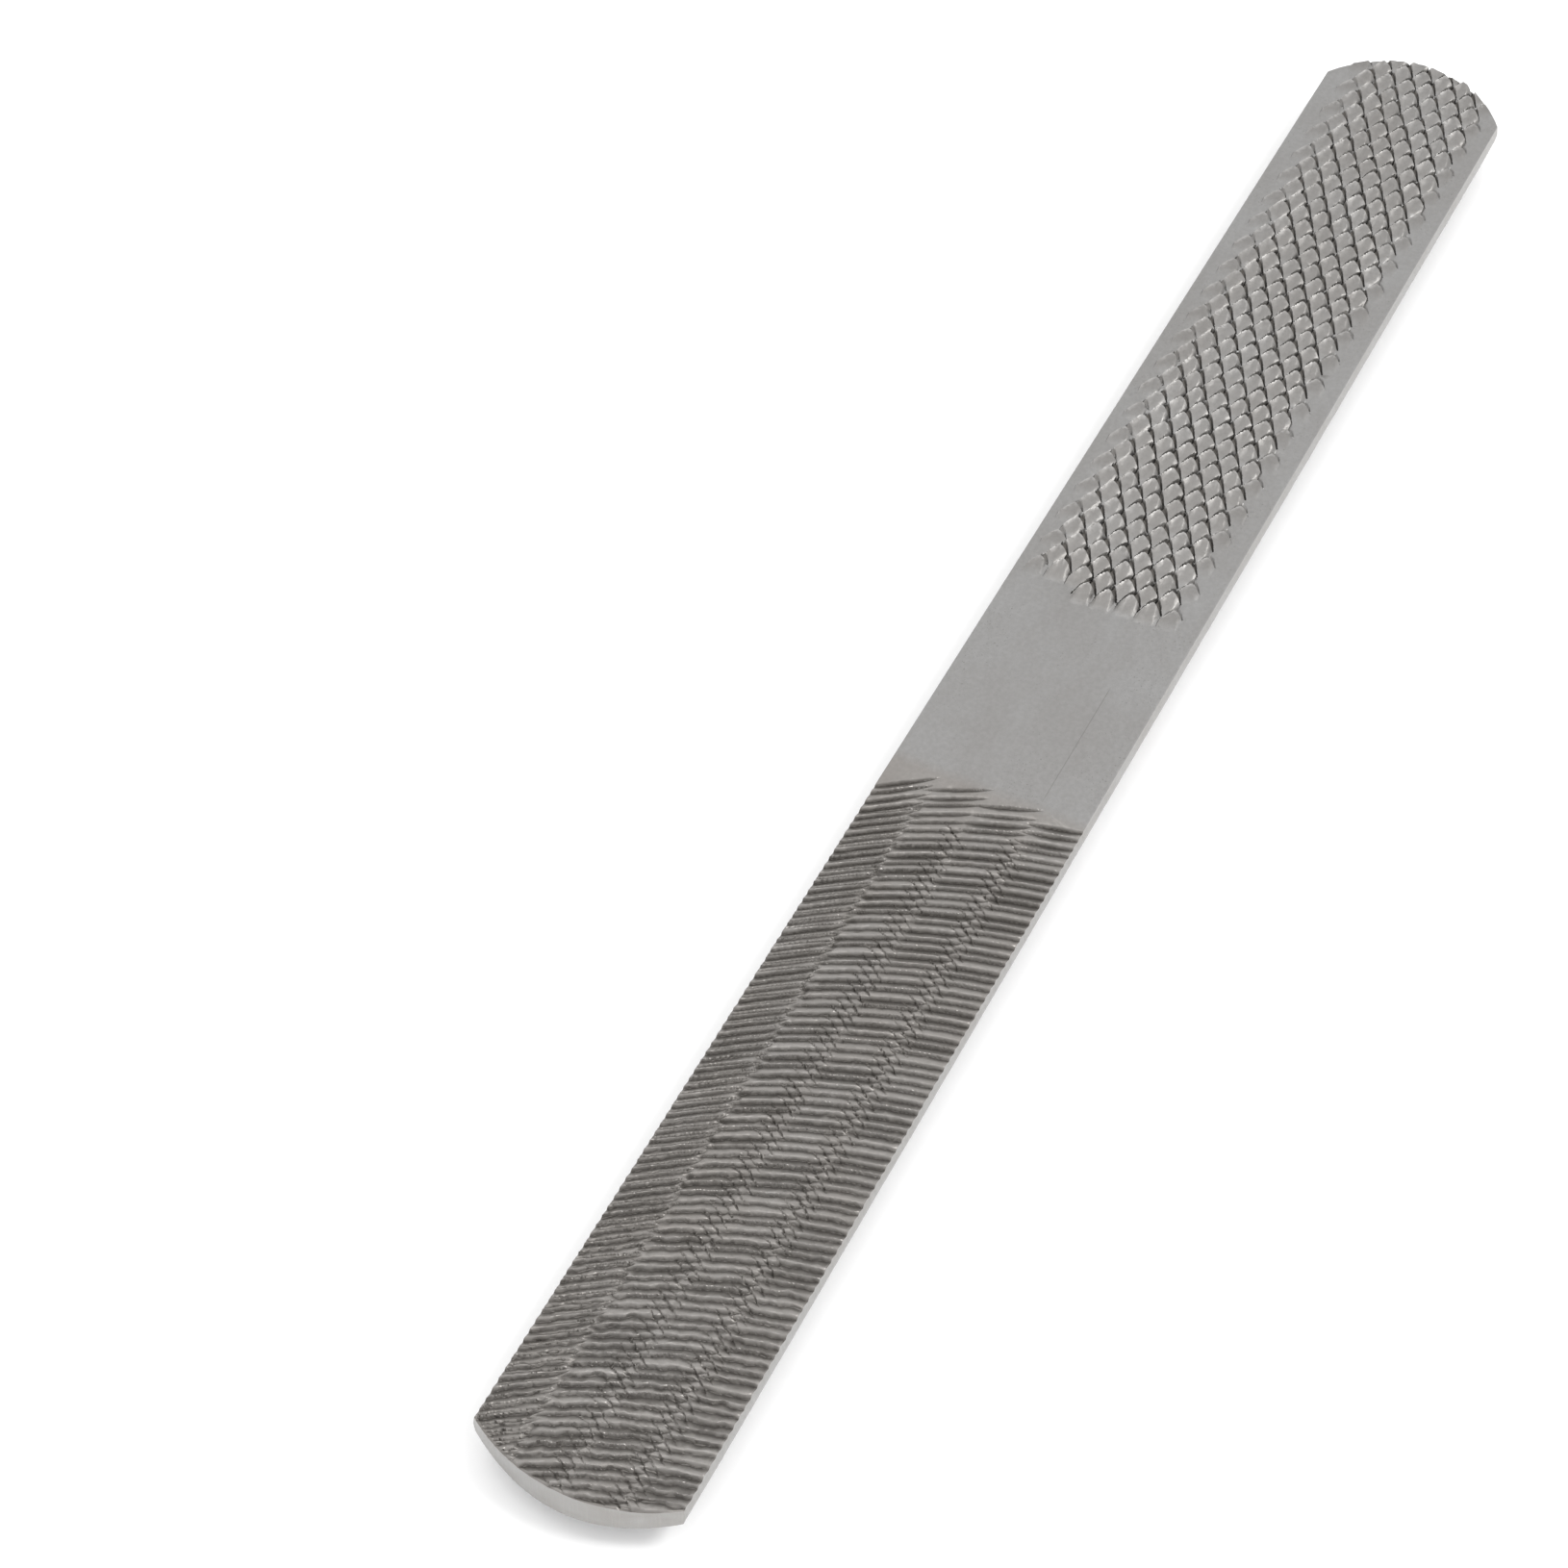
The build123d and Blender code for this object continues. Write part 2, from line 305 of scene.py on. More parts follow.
# ---------------------------------------------------------------- the flat face
def flat_face(x, y):
    """Height above TOP_Z over the whole flat face."""
    from_side = HALF_WIDTH - np.abs(y)
    height = np.zeros(x.shape)
    rasp = x > FLAT_RASP_FROM - 4
    height[rasp] = fine_teeth(x[rasp], y[rasp])[0]
    strip = smooth((HALF_WIDTH - 1.2 + y) / 0.8) * smooth((HALF_WIDTH - 0.4 - y) / 0.5)
    height[rasp] = height[rasp] * strip[rasp]
    wrinkles = 0.022 * noise(x, y, 0.5, 12) + 0.014 * noise(x, y, 0.24, 13)
    height = height + wrinkles * smooth((height - 0.05) / 0.2)
    filed = x < FLAT_FILE_TO + 4
    height[filed] = flat_cuts(x[filed], y[filed])
    height = np.minimum(height + 0.006 * noise(x, y, 6.0, 8), FINE_HEIGHT)
    return height - EDGE_ROUND * (1 - np.minimum(from_side / EDGE_ROUND, 1)) ** 2


# ---------------------------------------------------------------- coarse rasp teeth, belly
HALF_ARC = BELLY_RADIUS * math.asin(HALF_WIDTH / BELLY_RADIUS)
COARSE_ROW = 2.6
COARSE_COLUMN = 2.7
COARSE_START = 1.6                     # where rows are counted from, as a distance from the -X end
COARSE_MARGIN = 0.9                    # no tooth's middle is nearer than this to the belly's edges
COARSE_UNEVEN = 0.2                    # share by which the teeth differ in size
COARSE_SMALL = (0.55, 1.2)             # size of the outermost teeth, and over how far they grow
COARSE_GROWTH = 0.3                    # how much each row is larger than the last, next to the -X end
COARSE_SLIDE = 0.3                     # how far teeth stand out of line along the bar
COARSE_JOG = 0.22                      # and across it
COARSE_BACK = (0.95, 1.15)             # how a tooth's back falls: its length and its power
COARSE_SIDE = (0.72, 0.30, 2.6)        # its half width at the tip, how it flares and the power of its sides
COARSE_FACE = 0.2                      # how far the cutting face leans
SCOOP_LENGTH = 1.75                    # of the scoop in front of a tooth
SCOOP_HALF = 0.85
SCOOP_DEPTH = 0.55
SCOOP_RIM = 0.16                       # height of the ridge around it


def coarse_teeth(x, arc):
    """Height of the punched thorns over the belly, with the scoop in front of each."""
    along = HALF_LENGTH + x
    height = np.zeros(x.shape)
    scoops = np.zeros(x.shape)
    row_near = np.floor((along - COARSE_START) / COARSE_ROW)
    for step in (-2, -1, 0, 1, 2):
        row = row_near + step
        offset = 0.5 * COARSE_COLUMN * (np.abs(row) % 2)
        near = np.round((arc - offset) / COARSE_COLUMN)
        for beside in (-1, 0, 1):
            column = near + beside
            middle = offset + COARSE_COLUMN * column
            inside = (row >= 1) & (COARSE_START + COARSE_ROW * row < HALF_LENGTH + BELLY_RASP_TO)
            inside &= np.abs(middle) < HALF_ARC - COARSE_MARGIN
            size = 1 - COARSE_UNEVEN * hashed(row, column, 31)
            least, over = COARSE_SMALL
            inner = HALF_ARC - COARSE_MARGIN - np.abs(middle)
            size = size * (least + (1 - least) * smooth(inner / over))
            size = size * np.minimum(1, COARSE_GROWTH * row)
            p = COARSE_START + COARSE_ROW * row + COARSE_SLIDE * (hashed(row, column, 32) - 0.5) - along
            q = arc - middle - COARSE_JOG * (hashed(row, column, 33) - 0.5)
            behind = np.maximum(-p, 0)
            ahead = np.maximum(p, 0)
            flare = COARSE_SIDE[0] + COARSE_SIDE[1] * behind
            fall = (behind / COARSE_BACK[0]) ** COARSE_BACK[1]
            back = np.exp(-fall - (np.abs(q) / flare) ** COARSE_SIDE[2])
            back = back * COARSE_HEIGHT * size * np.maximum(0, 1 - ahead / COARSE_FACE)
            height = np.maximum(height, np.where(inside, back, 0))
            run = np.clip((ahead - 0.12) / SCOOP_LENGTH, 0, 1)
            width = SCOOP_HALF * (1 - run) + 0.02
            scoop = (1 - run) * np.clip(1 - np.abs(q) / width, 0, 1) ** 0.8 * smooth(ahead / 0.16)
            scoops = np.maximum(scoops, np.where(inside & (ahead > 0), scoop * size, 0))
            rim = np.exp(-((np.abs(q) - width) / 0.16) ** 2) * (1 - run) * smooth(ahead / 0.3)
            ridge = np.where(inside & (ahead > 0) & (run < 1), SCOOP_RIM * rim * size, 0)
            height = np.maximum(height, ridge)
    return height - SCOOP_DEPTH * scoops * (height < 0.3)


# ---------------------------------------------------------------- double file cuts, belly
BELLY_PITCH = 1.25
BELLY_COURSES = (-8.0, -4.0, 0.0, 4.0, 8.0)      # middles of the over-cuts' courses, along the arc
BELLY_COURSE_HALF = 2.5
OVER_SLANT = math.tan(math.radians(17))
OVER_BOW = 0.6
OVER_DEPTH = 0.28
OVER_CUT = (0.3, 0.56)                 # where in the pitch an over-cut is deepest and where it ends
UP_SLANT = math.tan(math.radians(28))
UP_START = 2.0                         # the up-cuts start this far after the over-cuts
UP_DEPTH = 0.24
UP_CUT = (0.25, 0.24)                  # middle and half width of an up-cut in the pitch
UP_MARGIN = 3.0                        # the up-cuts stop this far from the -Y side


def belly_cuts(x, arc):
    """Two crossing sets of file cuts over the belly: long over-cuts and steeper up-cuts."""
    height = np.zeros(x.shape)
    ragged = 0.07 * noise(x, arc, 0.8, 140)
    for centre in BELLY_COURSES:
        t = (arc - centre) / BELLY_COURSE_HALF
        count = (x - OVER_SLANT * arc + ragged - BELLY_FILE_FROM - OVER_BOW * t ** 2) / BELLY_PITCH
        place = count - np.floor(count)
        falling = place / OVER_CUT[0]
        rising = (OVER_CUT[1] - place) / (OVER_CUT[1] - OVER_CUT[0])
        groove = np.clip(np.where(place < OVER_CUT[0], falling, rising), 0, 1)
        reach = np.clip(1.3 * np.sqrt(np.maximum(0, 1 - t ** 2)), 0, 1)
        height = np.minimum(height, np.where(count > 0, -OVER_DEPTH * groove * reach, 0))
    ragged = 0.06 * noise(x, arc, 0.7, 150)
    count = (x + UP_SLANT * arc + ragged - BELLY_FILE_FROM - UP_START) / BELLY_PITCH
    place = count - np.floor(count)
    groove = np.clip(1 - np.abs(place - UP_CUT[0]) / UP_CUT[1], 0, 1)
    reach = smooth((arc + HALF_WIDTH - UP_MARGIN) / 1.2) * smooth(count / 1.5)
    return np.minimum(height, -UP_DEPTH * groove * reach)


# ---------------------------------------------------------------- the belly
def belly_face(x, arc):
    """Height out of the belly's plain arc over the whole belly."""
    from_side = HALF_ARC - np.abs(arc)
    height = np.zeros(x.shape)
    rasp = x < BELLY_RASP_TO + 4
    height[rasp] = coarse_teeth(x[rasp], arc[rasp])
    filed = x > BELLY_FILE_FROM - 4
    height[filed] = belly_cuts(x[filed], arc[filed])
    height = height * smooth((from_side - 0.25) / 0.6)
    height = height + 0.02 * noise(x, arc, 2.2, 9)
    return height - 0.5 * EDGE_ROUND * (1 - np.minimum(from_side / EDGE_ROUND, 1)) ** 2


# ---------------------------------------------------------------- mesh of the bar
END_THINNING = 1.5                     # the belly is ground this much thinner at both ends
END_THINNED = 4.5                      # over this length
END_TAPER = 20.0                       # over this length the sample lines lean to meet the rounded ends


def samples(count_x, count_y, half):
    """Sample places over one face, squeezed to the rounded outline: x and y, each (count_x, count_y)."""
    x = np.linspace(-HALF_LENGTH, HALF_LENGTH, count_x)[:, None]
    y = np.linspace(-half, half, count_y)[None, :]
    toe = np.clip((x - (HALF_LENGTH - END_TAPER)) / END_TAPER, 0, 1)
    heel = np.clip((-x - (HALF_LENGTH - END_TAPER)) / END_TAPER, 0, 1)
    placed = x - toe * (HALF_LENGTH - toe_x(y)) + heel * (heel_x(y) + HALF_LENGTH)
    return placed, np.broadcast_to(y, placed.shape)


def face_points(count_x, count_y):
    """The flat face and the belly as two grids of points."""
    half = HALF_WIDTH - SIDE_CREASE
    x, y = samples(count_x, count_y, half)
    end = np.minimum(toe_x(y) - x, x - heel_x(y))
    soft = 0.25 + 0.75 * smooth(end / 0.35)
    top = np.stack([x, y, TOP_Z + flat_face(x, y) * soft - 0.15 * (1 - smooth(end / 0.25))], -1)
    angle = np.arcsin(y / BELLY_RADIUS)
    thinned = END_THINNING * np.clip(1 - end / END_THINNED, 0, 1) ** 2 * (1 - (y / HALF_WIDTH) ** 2)
    radius = BELLY_RADIUS + belly_face(x, angle * BELLY_RADIUS) * soft - thinned
    belly = np.stack([x, radius * np.sin(angle), BELLY_AXIS_Z - radius * np.cos(angle)], -1)
    return top, belly


def bar_arrays():
    """Points and quads of the closed bar, with each quad's region: 0 flat face, 1 belly, 2 sides and ends."""
    count_x = int(2 * HALF_LENGTH / STEP) + 1
    count_y = int(2 * HALF_WIDTH / STEP) + 1
    top, belly = face_points(count_x, count_y)
    points = [top.reshape(-1, 3), belly.reshape(-1, 3)]
    total = 2 * count_x * count_y
    top_id = np.arange(count_x * count_y).reshape(count_x, count_y)
    belly_id = top_id + count_x * count_y
    quads = []
    regions = []

    def grid(ids, region, flip):
        a = ids[:-1, :-1]
        b = ids[1:, :-1]
        c = ids[1:, 1:]
        d = ids[:-1, 1:]
        order = (a, d, c, b) if flip else (a, b, c, d)
        quads.append(np.stack(order, -1).reshape(-1, 4))
        regions.append(np.full(quads[-1].shape[0], region, np.int32))

    grid(top_id, 0, False)
    grid(belly_id, 1, True)
    step = np.linspace(0, 1, SIDE_ROWS + 1)[1:-1]
    walls = {}
    for side, sign in ((0, -1), (count_y - 1, 1)):
        low = belly[:, side]
        high = top[:, side]
        rows = low[:, None] * (1 - step[None, :, None]) + high[:, None] * step[None, :, None]
        rows[:, :, 1] += sign * SIDE_CREASE * (1 - np.abs(2 * step - 1))[None, :]
        ids = np.arange(rows.shape[0] * rows.shape[1]).reshape(rows.shape[:2]) + total
        total += ids.size
        points.append(rows.reshape(-1, 3))
        wall = np.concatenate([belly_id[:, side][:, None], ids, top_id[:, side][:, None]], 1)
        walls[sign] = wall
        grid(wall, 2, sign > 0)
    for end, sign in ((0, -1), (count_x - 1, 1)):
        low = belly[end, 1:-1]
        high = top[end, 1:-1]
        rows = low[:, None] * (1 - step[None, :, None]) + high[:, None] * step[None, :, None]
        ids = np.arange(rows.shape[0] * rows.shape[1]).reshape(rows.shape[:2]) + total
        total += ids.size
        points.append(rows.reshape(-1, 3))
        inner = np.concatenate([belly_id[end, 1:-1][:, None], ids, top_id[end, 1:-1][:, None]], 1)
        wall = np.concatenate([walls[-1][end][None, :], inner, walls[1][end][None, :]], 0)
        grid(wall, 2, sign < 0)
    return np.concatenate(points), np.concatenate(quads), np.concatenate(regions)


def mesh_from_arrays(name, points, quads, regions):
    mesh = bpy.data.meshes.new(name)
    mesh.vertices.add(len(points))
    mesh.vertices.foreach_set("co", (points * MM).astype(np.float32).ravel())
    mesh.loops.add(quads.size)
    mesh.loops.foreach_set("vertex_index", quads.astype(np.int32).ravel())
    mesh.polygons.add(len(quads))
    mesh.polygons.foreach_set("loop_start", np.arange(0, quads.size, 4, dtype=np.int32))
    mesh.polygons.foreach_set("material_index", regions)
    mesh.update(calc_edges=True)
    mesh.validate()
    return mesh


def reduced(mesh, materials):
    """The same surface with fewer, unevenly spread triangles: small ones on teeth and cuts."""
    for material in materials:
        mesh.materials.append(material)
    draft = bpy.data.objects.new("rasp_draft", mesh)
    bpy.context.scene.collection.objects.link(draft)
    thin = draft.modifiers.new("thin", "DECIMATE")
    thin.ratio = min(1.0, TRIANGLES / (2.0 * len(mesh.polygons)))
    thin.use_collapse_triangulate = True
    graph = bpy.context.evaluated_depsgraph_get()
    result = bpy.data.meshes.new_from_object(draft.evaluated_get(graph))
    bpy.data.objects.remove(draft)
    bpy.data.meshes.remove(mesh)
    return result


STRIP = 50.0                           # the bar is unwrapped in strips this long
GAP = 1.0                              # between the islands
BELLY_SQUEEZE = 0.93                   # the belly's arc is squeezed to fit beside the flat face
SHARP = math.radians(26)               # edges that turn by more than this stay sharp
COARSE_PAINTED_SHADE = (0.8, 0.36, 0.4)         # painted shade on the coarse teeth's faces: how strong, from what turn to -X, how softly


def finish_mesh(mesh):
    """Cuts the mesh where the unwrapped strips meet, then adds UVs, painted shade and highlight values and
    sharp edges.
    """
    shape = bmesh.new()
    shape.from_mesh(mesh)
    strips = int(round(2 * HALF_LENGTH / STRIP))
    for number in range(1, strips):
        plane = (number * STRIP - HALF_LENGTH) * MM
        everything = shape.verts[:] + shape.edges[:] + shape.faces[:]
        bmesh.ops.bisect_plane(shape, geom=everything, dist=1e-7, plane_co=(plane, 0, 0), plane_no=(1, 0, 0))
    bmesh.ops.triangulate(shape, faces=[f for f in shape.faces if len(f.verts) > 3])
    bmesh.ops.recalc_face_normals(shape, faces=shape.faces[:])
    shape.to_mesh(mesh)
    shape.free()
    mesh.shade_smooth()
    mesh.set_sharp_from_angle(angle=SHARP)

    count = len(mesh.vertices)
    co = np.empty(count * 3, np.float32)
    mesh.vertices.foreach_get("co", co)
    co = co.reshape(-1, 3) / MM
    region = np.empty(len(mesh.polygons), np.int32)
    mesh.polygons.foreach_get("material_index", region)
    corner = np.empty(len(mesh.loops), np.int32)
    mesh.loops.foreach_get("vertex_index", corner)
    corner = corner.reshape(-1, 3)

    # painted shade on each fine tooth's cutting face and pits, and a painted highlight just behind its crest
    is_top = np.zeros(count, bool)
    is_top[corner[region == 0].ravel()] = True
    is_belly = np.zeros(count, bool)
    is_belly[corner[region == 1].ravel()] = True
    x = co[:, 0]
    turn = np.empty(count * 3, np.float32)
    mesh.vertex_normals.foreach_get("vector", turn)
    turn = turn.reshape(-1, 3)
    painted_shade = np.zeros(count)
    rim = np.zeros(count)
    teeth = is_top & (x > FLAT_RASP_FROM - 1)
    painted_shade[teeth], rim[teeth] = fine_teeth(x[teeth], co[teeth, 1])[1:]
    teeth = is_belly & (x < BELLY_RASP_TO + 1)
    # painted shade on the coarse teeth's faces that turn towards -X
    most, start, over = COARSE_PAINTED_SHADE
    painted_shade[teeth] = most * smooth((-turn[teeth, 0] - start) / over)
    for name, values in (("painted_shade", painted_shade), ("rim", rim)):
        layer = mesh.attributes.new(name, "FLOAT", "POINT")
        layer.data.foreach_set("value", values.astype(np.float32))

    # UVs: four strips one over the other, the flat face on the left and the belly on the right
    centre = co[corner].mean(1)
    strip = np.clip(np.floor((centre[:, 0] + HALF_LENGTH) / STRIP), 0, strips - 1)
    local_x = co[corner][:, :, 0] + HALF_LENGTH - strip[:, None] * STRIP
    y = co[corner][:, :, 1]
    z = co[corner][:, :, 2]
    arc = np.arctan2(y, BELLY_AXIS_Z - z) * BELLY_RADIUS
    row_height = 2 * HALF_WIDTH + 2 * SIDE_LAND + 4 * GAP
    base = strip[:, None] * row_height
    u = np.where(region[:, None] == 1, local_x + STRIP + 2 * GAP, local_x + GAP)
    v = base + GAP + HALF_WIDTH + np.where(region[:, None] == 1, arc * BELLY_SQUEEZE, y)
    normal = np.empty(len(mesh.polygons) * 3, np.float32)
    mesh.polygons.foreach_get("normal", normal)
    normal = normal.reshape(-1, 3)
    edge = region == 2
    end = edge & (np.abs(centre[:, 0]) > HALF_LENGTH - 8) & (np.abs(normal[:, 0]) > 0.3)
    side = edge & ~end
    left = side & (centre[:, 1] > 0)
    right = side & (centre[:, 1] <= 0)
    side_v = base + GAP + 2 * HALF_WIDTH + GAP
    u[left] = local_x[left] + GAP
    v[left] = side_v[left] + z[left] - SIDE_Z
    u[right] = local_x[right] + STRIP + 2 * GAP
    v[right] = side_v[right] + z[right] - SIDE_Z
    end_base = 2 * STRIP + 4 * GAP
    far = end & (centre[:, 0] > 0)
    near = end & (centre[:, 0] <= 0)
    u[far] = end_base + z[far]
    v[far] = y[far] + HALF_WIDTH + GAP
    u[near] = end_base + z[near]
    v[near] = y[near] + 3 * HALF_WIDTH + 3 * GAP
    sheet = max(end_base + TOP_Z + 3, strips * row_height + GAP)
    layer = mesh.uv_layers.new(name="OFBake")
    layer.data.foreach_set("uv", (np.stack([u, v], -1) / sheet).astype(np.float32).ravel())
    mesh.update()


# ---------------------------------------------------------------- materials
class Nodes:
    """Short calls for building a material's node tree."""

    def __init__(self, name):
        self.material = bpy.data.materials.new(name)
        self.material.use_nodes = True
        self.tree = self.material.node_tree
        self.shader = self.tree.nodes["Principled BSDF"]

    def add(self, kind, **settings):
        made = self.tree.nodes.new(kind)
        for key, value in settings.items():
            setattr(made, key, value)
        return made

    def link(self, source, target):
        self.tree.links.new(source, target)

    def put(self, socket, value):
        if isinstance(value, bpy.types.NodeSocket):
            self.link(value, socket)
        else:
            socket.default_value = value

    def attribute(self, name):
        return self.add("ShaderNodeAttribute", attribute_name=name).outputs["Fac"]

    def place(self, scale):
        """Object coordinates in millimetres, stretched by scale."""
        coords = self.add("ShaderNodeTexCoord").outputs["Object"]
        mapping = self.add("ShaderNodeMapping")
        mapping.inputs["Scale"].default_value = [1000.0 * s for s in scale]
        self.link(coords, mapping.inputs["Vector"])
        return mapping.outputs["Vector"]

    def noise(self, scale, detail=4.0, rough=0.55, warp=0.0):
        made = self.add("ShaderNodeTexNoise")
        self.link(self.place(scale), made.inputs["Vector"])
        made.inputs["Scale"].default_value = 1.0
        made.inputs["Detail"].default_value = detail
        made.inputs["Roughness"].default_value = rough
        made.inputs["Distortion"].default_value = warp
        return made.outputs["Fac"]

    def spread(self, value, low, high, to_low=0.0, to_high=1.0):
        made = self.add("ShaderNodeMapRange")
        self.put(made.inputs["Value"], value)
        made.inputs["From Min"].default_value = low
        made.inputs["From Max"].default_value = high
        made.inputs["To Min"].default_value = to_low
        made.inputs["To Max"].default_value = to_high
        return made.outputs["Result"]

    def math(self, operation, a, b=0.0):
        made = self.add("ShaderNodeMath", operation=operation)
        self.put(made.inputs[0], a)
        self.put(made.inputs[1], b)
        return made.outputs[0]

    def mix(self, factor, a, b, blend="MIX"):
        made = self.add("ShaderNodeMix", data_type="RGBA", blend_type=blend)
        self.put(made.inputs["Factor"], factor)
        self.put(made.inputs["A"], a)
        self.put(made.inputs["B"], b)
        return made.outputs["Result"]

    def bump(self, height, distance):
        made = self.add("ShaderNodeBump")
        made.inputs["Strength"].default_value = 1.0
        made.inputs["Distance"].default_value = distance
        self.link(height, made.inputs["Height"])
        return made.outputs["Normal"]


def colour(red, green, blue):
    return (red, green, blue, 1.0)


DARK_MARKS_AND_SHADE = colour(0.085, 0.078, 0.070)     # dark of the pin-prick pits and the scratch, and painted shade at the bottom of cuts and pits and on the teeth's cutting faces
CREST_HIGHLIGHT = colour(0.50, 0.49, 0.48)        # painted highlight on the teeth's rims and the file burrs
RUST = colour(0.155, 0.098, 0.066)
# colours of each working face: its plain band, its file cuts and its rasp teeth
FLAT_TINTS = (colour(0.275, 0.272, 0.268), colour(0.262, 0.250, 0.238), colour(0.228, 0.222, 0.215))
BELLY_TINTS = (colour(0.26, 0.26, 0.262), colour(0.20, 0.198, 0.195), colour(0.26, 0.257, 0.255))
EDGE_TINT = colour(0.37, 0.365, 0.358)
FACE_BUMP = 0.00003                    # metres
EDGE_BUMP = 0.00004


def face_lift(n, belly):
    """X, Y and how far each point stands out of the plain flat face or the plain belly, in millimetres."""
    split = n.add("ShaderNodeSeparateXYZ")
    n.link(n.place((1, 1, 1)), split.inputs["Vector"])
    x, y, z = (split.outputs[axis] for axis in "XYZ")
    if not belly:
        return x, y, n.math("SUBTRACT", z, TOP_Z)
    down = n.math("SUBTRACT", BELLY_AXIS_Z, z)
    radius = n.math("SQRT", n.math("ADD", n.math("MULTIPLY", y, y), n.math("MULTIPLY", down, down)))
    return x, y, n.math("SUBTRACT", radius, BELLY_RADIUS)


def steel_face(name, tints, belly):
    """Bare tool steel of a working face: blasted blank, painted shade in cuts, pits and on the teeth's
    cutting faces, painted highlight on rims and burrs, rust on the belly.
    """
    n = Nodes(name)
    plain, filed, rasped = tints
    x, y, lift = face_lift(n, belly)
    if belly:
        in_file = n.spread(x, BELLY_FILE_FROM - 1, BELLY_FILE_FROM + 0.5)
        in_rasp = n.spread(x, BELLY_RASP_TO + 1, BELLY_RASP_TO - 0.5)
    else:
        in_file = n.spread(x, FLAT_FILE_TO + 1, FLAT_FILE_TO - 0.5)
        in_rasp = n.spread(x, FLAT_RASP_FROM - 1, FLAT_RASP_FROM + 0.5)
    in_rasp = n.math("MULTIPLY", in_rasp, n.spread(lift, 0.0, 0.2))
    mottle = n.noise((0.09, 0.16, 0.16), detail=5.0, warp=0.6)
    grain = n.noise((2.2, 2.2, 2.2), detail=6.0, rough=0.7)
    streak = n.noise((0.12, 5.5, 5.5), detail=3.0, rough=0.6)
    base = n.mix(in_file, plain, filed)
    base = n.mix(in_rasp, base, rasped)
    shaded = n.mix(1.0, base, colour(0.93, 0.92, 0.91), "MULTIPLY")
    base = n.mix(n.spread(mottle, 0.38, 0.66), shaded, base)
    light = n.mix(1.0, base, colour(1.14, 1.14, 1.145), "MULTIPLY")
    base = n.mix(n.spread(grain, 0.40, 0.70), base, light)
    # pin-prick pits, gathered in clusters
    cluster = n.spread(n.noise((0.16, 0.16, 0.16), detail=3.0, rough=0.6), 0.48, 0.60)
    cluster = n.math("MULTIPLY", cluster, n.math("SUBTRACT", 1.0, n.math("MAXIMUM", in_file, in_rasp)))
    prick = n.spread(n.noise((5.0, 5.0, 5.0), detail=1.0, rough=0.5), 0.66, 0.72)
    prick = n.math("MULTIPLY", n.math("MULTIPLY", prick, cluster), 0.5)
    base = n.mix(prick, base, DARK_MARKS_AND_SHADE)
    # painted shade in the cuts and pits, weaker in the flat face's cuts towards the -X end
    shallow = n.spread(lift, -0.02, -0.16, 0.0, 0.50)
    deep = n.spread(lift, -0.15, -0.24, 0.0, 0.30) if belly else n.spread(lift, -0.18, -0.32, 0.0, 0.48)
    groove = n.math("MULTIPLY", n.math("ADD", shallow, deep), in_file)
    if not belly:
        groove = n.math("MULTIPLY", groove, n.spread(x, -25.0, -85.0, 1.10, 0.78))
    # painted shade of the teeth and of the cuts together
    pit = n.math("MAXIMUM", n.attribute("painted_shade"), groove)
    base = n.mix(n.math("MULTIPLY", pit, 0.88), base, DARK_MARKS_AND_SHADE)
    # painted highlight on the file burrs and along the teeth's rims
    burr = n.math("MULTIPLY", n.spread(lift, 0.012, 0.03, 0.0, 0.5), in_file)
    painted_highlight = n.math("MAXIMUM", burr, n.math("MULTIPLY", n.attribute("rim"), 0.5))
    base = n.mix(painted_highlight, base, CREST_HIGHLIGHT)
    rough = n.spread(grain, 0.3, 0.75, 0.36, 0.50)
    rough = n.math("ADD", rough, n.math("MULTIPLY", pit, 0.2))
    if belly:
        # rust, worst on the -Y side of the plain band
        worst = n.math("MULTIPLY", n.spread(n.math("ABSOLUTE", x), 26.0, 8.0), n.spread(y, 0.0, -8.0))
        stain = n.spread(n.noise((0.16, 0.34, 0.34), detail=9.0, rough=0.75, warp=0.4), 0.46, 0.66)
        stain = n.math("MULTIPLY", stain, n.spread(worst, 0.0, 1.0, 0.22, 0.85))
        base = n.mix(stain, base, RUST)
        rough = n.math("ADD", rough, n.math("MULTIPLY", stain, 0.4))
    else:
        base = n.mix(scratch(n, x, y), base, DARK_MARKS_AND_SHADE)
    n.link(base, n.shader.inputs["Base Color"])
    n.shader.inputs["Metallic"].default_value = 1.0
    n.link(rough, n.shader.inputs["Roughness"])
    height = n.math("ADD", n.math("MULTIPLY", grain, 0.8), n.math("MULTIPLY", streak, 0.3))
    height = n.math("SUBTRACT", height, prick)
    n.link(n.bump(height, FACE_BUMP), n.shader.inputs["Normal"])
    return n.material


SCRATCH = (-14.5, 1.8, -5.0)           # a long fine scratch on the flat face: from X, to X, and its Y


def scratch(n, x, y):
    """How strongly the scratch shows at each point."""
    beside = n.math("ABSOLUTE", n.math("SUBTRACT", y, SCRATCH[2]))
    line = n.spread(beside, 0.02, 0.07, 0.3, 0.0)
    line = n.math("MULTIPLY", line, n.spread(x, SCRATCH[0], SCRATCH[0] + 1.0))
    return n.math("MULTIPLY", line, n.spread(x, SCRATCH[1], SCRATCH[1] - 1.0))


